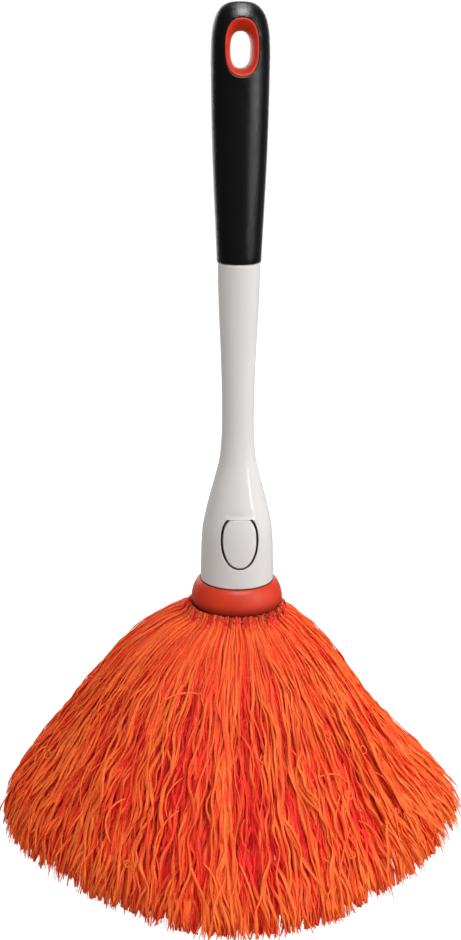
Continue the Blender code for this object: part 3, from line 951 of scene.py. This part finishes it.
def yarn_paths(rng, row, line, crests):
    """Centre lines of a row of yarns: close together at the collar, then wavy, in tufts and
    clumps. Also how far each point lies under the outer face, and each yarn's tuft."""
    along = np.linspace(0.0, 1.0, row.samples)
    walked = along * line_length(line)
    count = row.count
    tufts = count // 5
    slots = (np.arange(count) + rng.uniform(-0.45, 0.45, count)) / count * math.tau
    centres = (np.arange(tufts) + rng.uniform(-0.3, 0.3, tufts)) / tufts * math.tau
    tuft = np.argmin(np.abs(np.angle(np.exp(1j * (slots[:, None] - centres)))), axis=1)
    gather = np.angle(np.exp(1j * (centres[tuft] - slots)))
    lean = rng.normal(0.0, 0.024, tufts)[tuft] + rng.normal(0.0, 0.042, count)
    hold = rng.uniform(0.2, 0.92, tufts)[tuft] * (1.0 if row.fibres else 0.3)
    length = rng.uniform(row.shortest, 1.0, count) + rng.normal(0.0, 0.021, tufts)[tuft]
    length = np.minimum(length + 0.008 * crests(slots), 1.012)
    tip_depth = rng.uniform(*row.depth, count) + rng.normal(0.0, 0.6 * MM, tufts)[tuft]
    root_depth = (rng.permutation(count) / count) ** 0.6 * 2.8 * MM + max(row.depth[0], 0.0)

    loose = 0.10 + 0.90 * smooth_step(along / 0.55)
    share = along * length[:, None]
    sway = waves(rng, count, walked, (0.07, 0.034, 0.018), (1.25 * MM, 0.78 * MM, 0.32 * MM))
    shared = waves(rng, tufts, walked, (0.08, 0.04), (1.3 * MM, 0.6 * MM))[tuft]
    heave = waves(rng, count, walked, (0.06, 0.028, 0.016), (0.5 * MM, 0.36 * MM, 0.13 * MM))
    flick = rng.normal(0.0, 2.6 * MM, count)[:, None]
    flick = flick * smooth_step((along - 0.72) / 0.28) ** 2
    opening = smooth_step(along / 0.45)
    sunk = root_depth[:, None] * (1 - opening) + tip_depth[:, None] * opening
    lower = smooth_step((along - 0.15) / 0.5)
    sunk = sunk + heave * loose - 1.0 * MM * crests(slots)[:, None] * lower
    sunk = sunk * (1 - 0.6 * smooth_step((along - 0.75) / 0.25)) + 0.8 * MM
    if row.fibres:
        sunk = sunk - 0.7 * np.abs(flick)
    pull = (hold * gather)[:, None] * smooth_step((along - 0.55) / 0.45)
    angle = slots[:, None] + pull + lean[:, None] * along**1.5
    radius = np.maximum(radius_at(line, share) * row.spread, 15 * MM)
    angle = angle + ((sway + shared) * loose + flick) / radius
    paths, outward = on_skirt(line, share, angle, sunk, row.spread)
    return paths, outward, sunk, tuft


def shorten(values, cut):
    """Sample rows of values again over the first part of their length."""
    count, samples = values.shape[:2]
    index = np.linspace(0.0, samples - 1, samples) * cut[:, None]
    base = np.minimum(index.astype(int), samples - 2)
    part = index - base
    if values.ndim == 3:
        part = part[..., None]
    rows = np.arange(count)[:, None]
    return values[rows, base] * (1 - part) + values[rows, base + 1] * part


@dataclass
class Tubes:
    """Closed tubes along paths: how many sides they have, their centre lines, cross directions,
    half widths and shades, and how much painted shade darkens each ring."""

    sides: int
    paths: np.ndarray
    side: np.ndarray
    up: np.ndarray
    wide: np.ndarray
    high: np.ndarray
    shades: np.ndarray
    painted_shade: np.ndarray

    def part(self, first, last):
        """Some of the tubes."""
        whole = (self.paths, self.side, self.up, self.wide, self.high, self.shades, self.painted_shade)
        return Tubes(self.sides, *[values[first:last] for values in whole])

    def rings(self):
        """Every ring of every tube, as an array of tube, sample, corner and coordinate."""
        corners = (np.arange(self.sides) + 0.5) * math.tau / self.sides
        across = self.wide[:, :, None, None] * np.cos(corners)[None, None, :, None]
        outward = self.high[:, :, None, None] * np.sin(corners)[None, None, :, None]
        rings = self.paths[:, :, None, :] + across * self.side[:, :, None, :]
        rings = rings + outward * self.up[:, :, None, :]
        rings[..., 2] = np.maximum(rings[..., 2], FLOOR_CLEARANCE)
        return rings


def spun_frames(paths, outward, spin):
    """Cross directions of each path, turned about it by spin."""
    side, up = frames(paths, outward)
    cosine, sine = np.cos(spin)[..., None], np.sin(spin)[..., None]
    return side * cosine + up * sine, up * cosine - side * sine


def make_yarns(rng, row, paths, outward, tone_and_painted_light, painted_shade):
    """Each yarn's soft body: a flat bundle, twisted, pinched and swollen by turns, to a point."""
    count = row.count
    along = np.linspace(0.0, 1.0, row.samples)
    walked = along * YARN_LENGTH
    bulk = np.clip(1.0 + waves(rng, count, walked, (0.040, 0.017), (0.26, 0.22)), 0.40, 1.7)
    taper = 0.50 + 0.50 * smooth_step(along / 0.75)
    taper = taper * (1.0 - 0.72 * smooth_step((along - 0.945) / 0.055))
    wide = row.half_width * bulk * taper
    high = YARN_FLATNESS * row.half_width * rng.uniform(0.75, 1.2, count)[:, None] * taper
    spin = waves(rng, count, walked, (0.08, 0.035), (0.7, 0.45))
    spin = spin + rng.normal(0.0, 0.3, count)[:, None]
    side, up = spun_frames(paths, outward, spin)
    corners = (np.arange(YARN_SIDES) + 0.5) * math.tau / YARN_SIDES
    shades = []
    for turn in corners:
        facing = side * (math.cos(turn) * high)[..., None]
        facing = unit(facing + up * (math.sin(turn) * wide)[..., None])
        shown = np.sum(facing * outward, axis=-1)
        streak = waves(rng, count, walked, (0.05, 0.02), (0.07, 0.06))
        # Painted light and shade: corners that face out from the skirt are lighter, the flanks darker.
        shades.append(np.clip(tone_and_painted_light + 1.1 * (shown - 0.9) + streak, 0.0, 1.0))
    return Tubes(YARN_SIDES, paths, side, up, wide, high, np.stack(shades, axis=-1), painted_shade)


def make_fibres(rng, row, yarns, outward, tone_and_painted_light):
    """Fine fibres half sunk in the face of each yarn, which stray from it and fray its end."""
    count = row.count
    along = np.linspace(0.0, 1.0, row.samples)
    walked = along * YARN_LENGTH
    paths, shades, radii = [], [], []
    for k in range(row.fibres):
        turn = math.pi * (k + 0.5) / row.fibres + rng.normal(0.0, 0.5, count)[:, None]
        turn = turn + waves(rng, count, walked, (0.06, 0.03), (0.5, 0.4))
        stray = 1.0 + np.abs(waves(rng, count, walked, (0.05, 0.02), (0.35, 0.25)))
        across = np.cos(turn) * yarns.wide * stray
        out = np.sin(turn) * yarns.high * stray
        splay = rng.normal(0.0, 0.9 * MM, count)[:, None] * smooth_step((along - 0.88) / 0.12)
        line = yarns.paths + yarns.side * (across + splay)[..., None] + yarns.up * out[..., None]
        cut = 1.0 - rng.uniform(0.0, 0.05, count)
        line = shorten(line, cut)
        thin = 1.0 - 0.6 * smooth_step((along - 0.95) / 0.05)
        radius = FIBRE_RADIUS * rng.uniform(0.75, 1.25, count)[:, None] * thin
        keep_off_floor(line, radius)
        paths.append(line)
        radii.append(radius)
        streak = waves(rng, count, walked, (0.04, 0.015), (0.05, 0.04))
        shade = tone_and_painted_light + 0.08 + rng.normal(0.0, 0.20, count)[:, None] + streak
        shades.append(np.repeat(shade[..., None], 3, axis=-1))
    order = np.arange(count * row.fibres).reshape(row.fibres, count).T.reshape(-1)
    line = np.concatenate(paths)[order]
    radius = np.concatenate(radii)[order]
    side, up = frames(line, np.tile(outward, (row.fibres, 1, 1))[order])
    painted_shade = np.tile(yarns.painted_shade, (row.fibres, 1))[order]
    return Tubes(3, line, side, up, radius, radius, np.concatenate(shades)[order], painted_shade)


# From deep red to bright orange: the yarns' own tones, and also painted shade (DEEP) and painted light
# (BRIGHT).
DEEP = np.array((0.80, 0.008, 0.012))
MIDDLE = np.array((0.93, 0.030, 0.013))
BRIGHT = np.array((0.96, 0.166, 0.027))


def shade_colours(shades):
    """Shades of 0 to 1 as colours, from deep red to bright orange."""
    value = np.clip(shades, 0.0, 1.0)[..., None]
    low = DEEP + (MIDDLE - DEEP) * np.minimum(value * 2, 1.0)
    return low + (BRIGHT - MIDDLE) * np.maximum(value * 2 - 1.0, 0.0)


def tube_mesh(name, tubes):
    """Closed tubes as one smooth mesh, with their colours and a cell of the UV map for each."""
    count, samples = tubes.paths.shape[:2]
    sides = tubes.sides
    verts = tubes.rings().reshape(-1, 3)
    per_tube = samples * sides
    ring = np.arange(samples - 1)[:, None] * sides
    here = np.arange(sides)
    beside = (here + 1) % sides
    quads = np.stack([ring + here, ring + beside, ring + sides + beside, ring + sides + here], axis=-1)
    root = np.arange(sides)[::-1]
    tip = per_tube - sides + np.arange(sides)
    pattern = np.concatenate([quads.reshape(-1), root, tip])
    sizes = np.concatenate([np.full((samples - 1) * sides, 4), (sides, sides)])
    loops = (pattern + (np.arange(count) * per_tube)[:, None]).reshape(-1)
    totals = np.tile(sizes, count)
    starts = np.concatenate([[0], np.cumsum(totals)[:-1]])

    mesh = bpy.data.meshes.new(name)
    mesh.vertices.add(len(verts))
    mesh.vertices.foreach_set("co", verts.astype(np.float32).reshape(-1))
    mesh.loops.add(len(loops))
    mesh.loops.foreach_set("vertex_index", loops.astype(np.int32))
    mesh.polygons.add(len(totals))
    mesh.polygons.foreach_set("loop_start", starts.astype(np.int32))
    mesh.polygons.foreach_set("use_smooth", np.ones(len(totals), bool))
    mesh.update(calc_edges=True)

    # Painted shade darkens the colours of buried roots and of roots close under the collar.
    colours = shade_colours(tubes.shades) * (1 - tubes.painted_shade)[..., None, None]
    colours = colours.reshape(-1, 3)
    colours = np.concatenate([colours, np.ones((len(colours), 1))], axis=1)
    layer = mesh.color_attributes.new("shade", "FLOAT_COLOR", "POINT")
    layer.data.foreach_set("color", colours.astype(np.float32).reshape(-1))
    lay_out(mesh, count, samples, sides)
    mesh.validate()
    return mesh


def lay_out(mesh, count, samples, sides):
    """A UV map with a small cell of its own for each tube, which runs up the cell."""
    across = np.array([(k, k + 1, k + 1, k) for k in range(sides)]) / sides
    u = np.tile(across.reshape(-1), samples - 1)
    v = np.repeat(np.arange(samples - 1), sides)[:, None] + np.array((0, 0, 1, 1))
    v = v.reshape(-1) / (samples - 1)
    turn = np.arange(sides) * math.tau / sides
    cap_u = 0.5 + 0.02 * np.cos(turn)
    cap_v = 0.02 * (1 + np.sin(turn)) / 2
    cells = math.ceil(math.sqrt(count))
    inset = 0.08
    u = inset + (1 - 2 * inset) * np.concatenate([u, cap_u, cap_u])
    v = inset + (1 - 2 * inset) * np.concatenate([v, cap_v, 0.98 + cap_v])
    column = (np.arange(count) % cells)[:, None]
    line = (np.arange(count) // cells)[:, None]
    uv = np.stack([(column + u[None]) / cells, (line + v[None]) / cells], axis=-1)
    layer = mesh.uv_layers.new(name="OFBake")
    layer.data.foreach_set("uv", uv.astype(np.float32).reshape(-1))


def add_tubes(name, tubes, look, node=None):
    """Tubes as pieces of a moderate number of faces, which ride on the head."""
    count, samples = tubes.paths.shape[:2]
    pieces = math.ceil(count * samples * tubes.sides / FACES_A_PIECE)
    for part in range(pieces):
        label = f"{name}_{part + 1}"
        mesh = tube_mesh(label, tubes.part(part * count // pieces, (part + 1) * count // pieces))
        piece = settle(label, mesh, look, "head")
        if node:
            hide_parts(node)


def add_row(rng, row, look, line, crests):
    """One row of yarns round the handle, with their fibres."""
    paths, outward, sunk, tuft = yarn_paths(rng, row, line, crests)
    tone_and_painted_light = row.tone + rng.normal(0.0, 0.14, row.count)
    tone_and_painted_light = tone_and_painted_light + rng.normal(0.0, 0.07, tuft.max() + 1)[tuft]
    along = np.linspace(0.0, 1.0, row.samples)
    # Painted shade: the deeper a yarn lies, below its root, the darker it is.
    tone_and_painted_light = tone_and_painted_light[:, None] - (sunk - np.median(sunk)) * smooth_step(along / 0.4) * 0.29 / MM
    # Painted light: lighter towards the skirt's left and right, and a little lighter on the right.
    aside = paths[..., 0] / 0.1
    tone_and_painted_light = tone_and_painted_light + 0.50 * aside**2 + 0.08 * aside
    # Painted light: the upper part of every yarn is lighter, where light from above falls.
    tone_and_painted_light = tone_and_painted_light + 0.62 * (1 - smooth_step(along / 0.6))
    reached = np.hypot(paths[..., 0], paths[..., 1]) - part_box("collar_ring")[1].x
    reached = np.maximum(reached, 0.0)
    # Painted shade: roots buried under others, and all roots right under the collar, are darker.
    buried = smooth_step((sunk - 2.0 * MM) / (1.6 * MM))
    painted_shade = 0.46 * buried * np.exp(-reached / (5.0 * MM))
    painted_shade = painted_shade + 0.20 * np.exp(-((reached / (1.5 * MM)) ** 2))
    yarns = make_yarns(rng, row, paths, outward, tone_and_painted_light, np.minimum(painted_shade, MOST_PAINTED_SHADE))
    add_tubes(f"yarns_{row.name}", yarns, look, row.node)
    if row.fibres:
        fibres = make_fibres(rng, row, yarns, outward, tone_and_painted_light)
        add_tubes(f"fibres_{row.name}", fibres, look, row.node)


def add_loose(rng, look, name, paths, outward, radii, sides, flatness, varied):
    """Bright tubes that belong to no row."""
    keep_off_floor(paths, radii)
    count, samples = radii.shape
    shades = np.tile(rng.normal(0.85, varied, count)[:, None, None], (1, samples, sides))
    side, up = frames(paths, outward)
    painted_shade = np.zeros_like(radii)
    add_tubes(name, Tubes(sides, paths, side, up, radii, flatness * radii, shades, painted_shade), look)


def add_strays(rng, look, line):
    """Loose yarns and filaments that lie across the others, bent or in loops."""
    count, samples = STRAYS, 44
    along = np.linspace(0.0, 1.0, samples)
    start = 0.25 + 0.62 * rng.random(count) ** 0.7
    place = rng.uniform(0.0, math.tau, count)
    looped = rng.random(count) < 0.16
    turning = np.where(looped, rng.uniform(5.5, 8.0, count), rng.uniform(0.3, 1.7, count))
    turning = turning * rng.choice((-1.0, 1.0), count)
    length = np.where(looped, rng.uniform(0.012, 0.020, count), rng.uniform(0.014, 0.038, count))
    heading = rng.normal(0.0, 0.38, count)
    tight = np.where(looped, 2.2, 1.0)[:, None]
    bend = smooth_step(along) * (1 - 1 / tight) + along / tight
    course = heading[:, None] + turning[:, None] * (bend - 0.5)
    step = length[:, None] / (samples - 1)
    across = np.cumsum(np.sin(course) * step, axis=1)
    down = np.cumsum(np.cos(course) * step, axis=1)
    share = start[:, None] + down / line_length(line)
    share = share - np.maximum(share.max(axis=1) - 0.975, 0.0)[:, None]
    angle = place[:, None] + across / radius_at(line, share)
    lift = rng.uniform(0.8, 2.0, count)[:, None] * MM * np.sin(math.pi * along)
    lift = lift + np.where(looped, 0.8 * MM, 0.0)[:, None] * along
    paths, outward = on_skirt(line, share, angle, 0.4 * MM - lift)
    thick = np.where(looped, rng.uniform(0.22, 0.34, count), rng.uniform(0.22, 0.58, count))
    radii = thick[:, None] * MM * (1 - 0.6 * np.abs(2 * along - 1) ** 6)
    add_loose(rng, look, "strays", paths, outward, radii, sides=5, flatness=0.6, varied=0.12)


def add_fuzz(rng, look, line):
    """Short fine hairs that stand a little off the skirt and soften its edges."""
    count, samples = HAIRS, 7
    along = np.linspace(0.0, 1.0, samples)
    start = rng.uniform(0.12, 0.98, count)
    length = rng.uniform(4.0, 10.0, count) * MM
    heading = rng.normal(0.0, 0.55, count)
    down = np.cos(heading) * length / line_length(line)
    share = start[:, None] + down[:, None] * along
    curl = rng.normal(0.0, 1.6 * MM, count)[:, None] * along**2
    across = (np.sin(heading) * length)[:, None] * along + curl
    angle = rng.uniform(0.0, math.tau, count)[:, None] + across / radius_at(line, share)
    lift = rng.uniform(0.2, 1.8, count)[:, None] * MM * along**1.5
    paths, outward = on_skirt(line, share, angle, 0.8 * MM - lift)
    radii = 0.085 * MM * (1 - 0.5 * along) * rng.uniform(0.8, 1.2, count)[:, None]
    add_loose(rng, look, "fuzz", paths, outward, radii, sides=3, flatness=1.0, varied=0.1)


def make_strands(look):
    """Every row of yarns, the loose ones that lie across them, and the short hairs."""
    rng = np.random.default_rng(SEED)
    line = skirt_line()
    phases = rng.uniform(0.0, math.tau, len(CLUMP_TURNS))

    def crests(angle):
        """How far the yarns stand out at an angle round the skirt, about -1 to 1."""
        wave = [np.sin(turns * angle + phase) for turns, phase in zip(CLUMP_TURNS, phases)]
        return sum(wave) / math.sqrt(len(CLUMP_TURNS))

    for row in ROWS:
        add_row(rng, row, look, line, crests)
    add_strays(rng, look, line)
    add_fuzz(rng, look, line)


# ---------------------------------------------------------------- assembly


# Each is named as its material slot
MATERIALS = (
    white_plastic,
    inner_plastic,
    black_rubber,
    core_plastic,
    orange_plastic,
    header_tape,
    screw_steel,
    microfibre,
)


def dress_cad_nodes(looks):
    """Give every CAD node its finished material, for those that stay."""
    slots = {s["node"]: s["material_slot"] for s in frame["record"]["subparts"]}
    for name, node in NODES.items():
        node.data.materials.clear()
        node.data.materials.append(looks[slots[name]])


def main():
    make_camera()
    make_studio()
    make_floor()
    looks = {make.__name__: make() for make in MATERIALS}
    dress_cad_nodes(looks)
    project = make_grip(looks["black_rubber"])
    make_hole_liner(project, looks["orange_plastic"])
    make_shell(looks["white_plastic"])
    make_collar(looks["orange_plastic"])
    make_strands(looks["microfibre"])


main()
